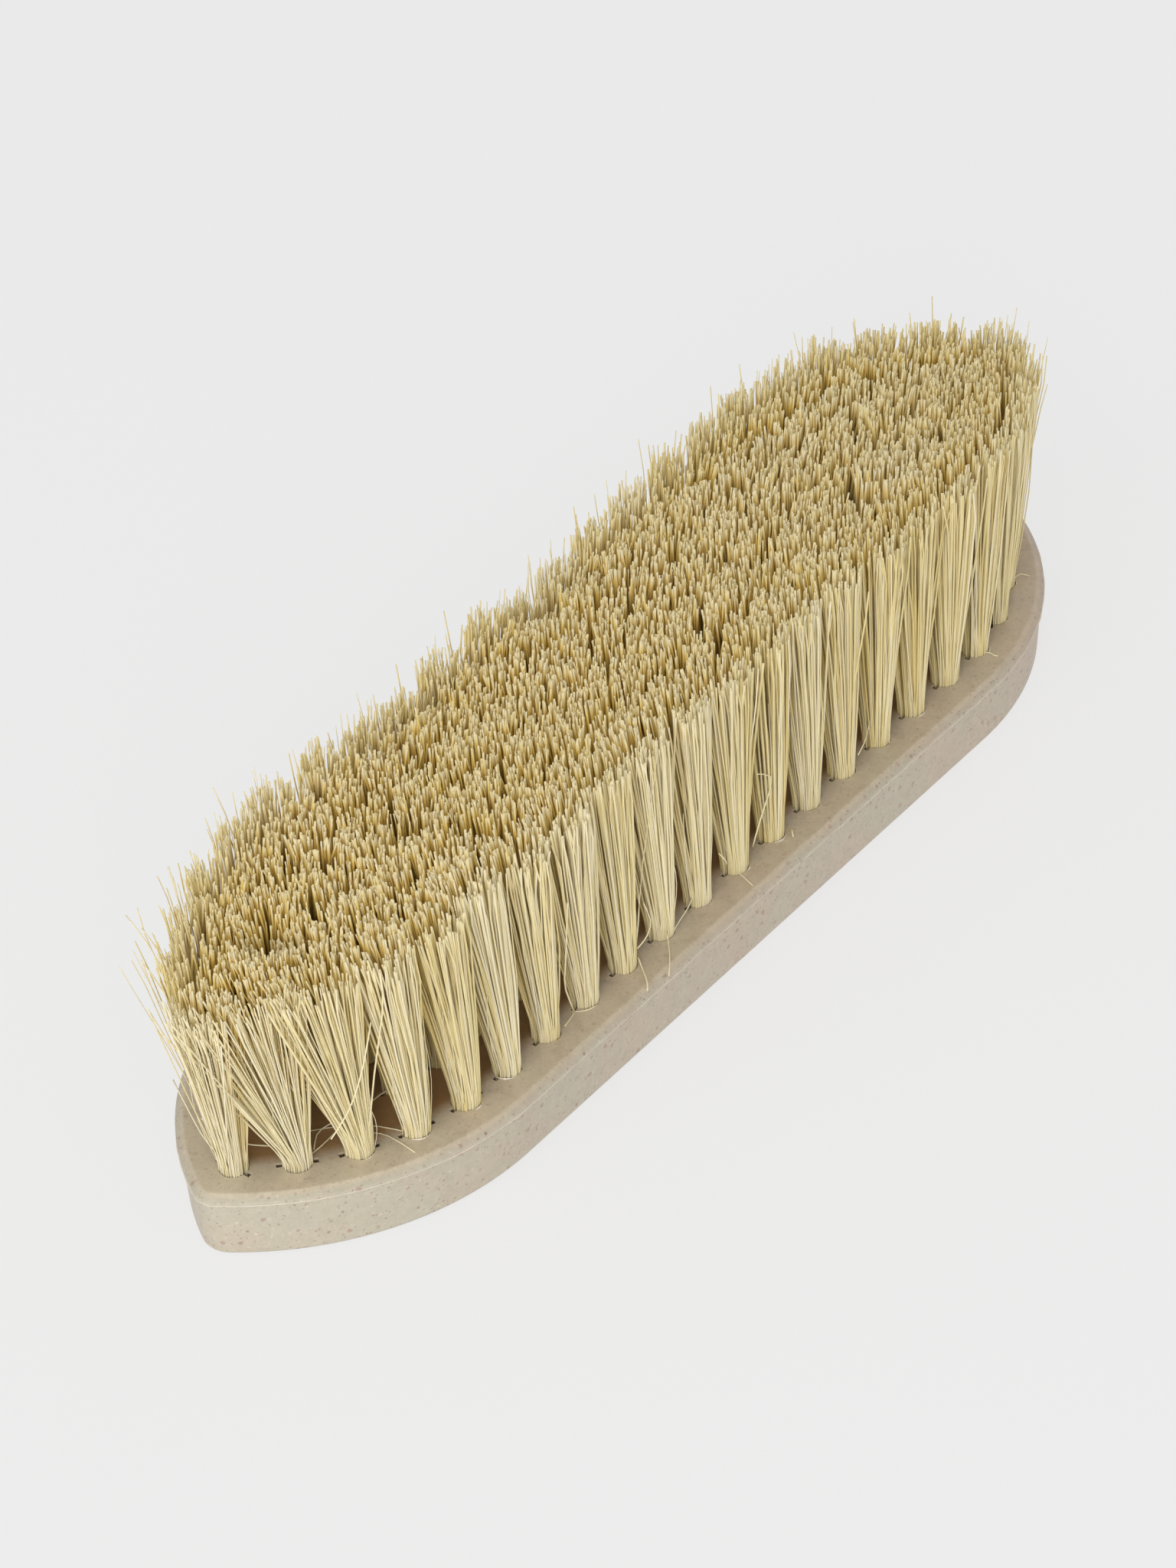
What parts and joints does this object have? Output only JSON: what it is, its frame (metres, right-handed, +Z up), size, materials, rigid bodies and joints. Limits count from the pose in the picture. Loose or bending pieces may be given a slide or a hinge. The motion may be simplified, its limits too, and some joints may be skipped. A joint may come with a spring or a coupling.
{
  "type": "mane and tail brush",
  "caption": "Boat-shaped grooming brush: a moulded straw-composite block whose drilled holes hold flared tufts of stiff cream plant fibre, trimmed level.",
  "frame": {"origin": "centre of the flat back, on the surface that the brush lies on", "axes": "+X along the brush, +Y across it, +Z up from the back to the trimmed ends of the bristle"},
  "size_m": [0.2008, 0.0504, 0.0458],
  "materials": {
    "composite": "speckled straw and plastic composite, satin",
    "fibre": "stiff natural plant fibre, cream to straw yellow, cut ends a little darker"
  },
  "bodies": {
    "root": {"block": "composite", "tuft_near_01": "fibre", "tuft_near_02": "fibre", "tuft_near_03": "fibre", "tuft_near_04": "fibre", "tuft_near_05": "fibre", "tuft_near_06": "fibre", "tuft_near_07": "fibre", "tuft_near_08": "fibre", "tuft_near_09": "fibre", "tuft_near_10": "fibre", "tuft_near_11": "fibre", "tuft_near_12": "fibre", "tuft_near_13": "fibre", "tuft_near_14": "fibre", "tuft_near_15": "fibre", "tuft_near_16": "fibre", "tuft_near_17": "fibre", "tuft_near_18": "fibre", "tuft_near_19": "fibre", "tuft_near_20": "fibre", "tuft_near_21": "fibre", "tuft_far_01": "fibre", "tuft_far_02": "fibre", "tuft_far_03": "fibre", "tuft_far_04": "fibre", "tuft_far_05": "fibre", "tuft_far_06": "fibre", "tuft_far_07": "fibre", "tuft_far_08": "fibre", "tuft_far_09": "fibre", "tuft_far_10": "fibre", "tuft_far_11": "fibre", "tuft_far_12": "fibre", "tuft_far_13": "fibre", "tuft_far_14": "fibre", "tuft_far_15": "fibre", "tuft_far_16": "fibre", "tuft_far_17": "fibre", "tuft_far_18": "fibre", "tuft_far_19": "fibre", "tuft_far_20": "fibre", "tuft_far_21": "fibre", "tuft_outer_tip_left": "fibre", "tuft_outer_tip_right": "fibre", "tuft_inner_tip_left": "fibre", "tuft_inner_tip_right": "fibre", "inner_near_strip_1": "fibre", "inner_near_strip_2": "fibre", "inner_near_strip_3": "fibre", "inner_far_strip_1": "fibre", "inner_far_strip_2": "fibre", "inner_far_strip_3": "fibre", "middle_strip_1": "fibre", "middle_strip_2": "fibre", "middle_strip_3": "fibre"}
  },
  "joints": []
}
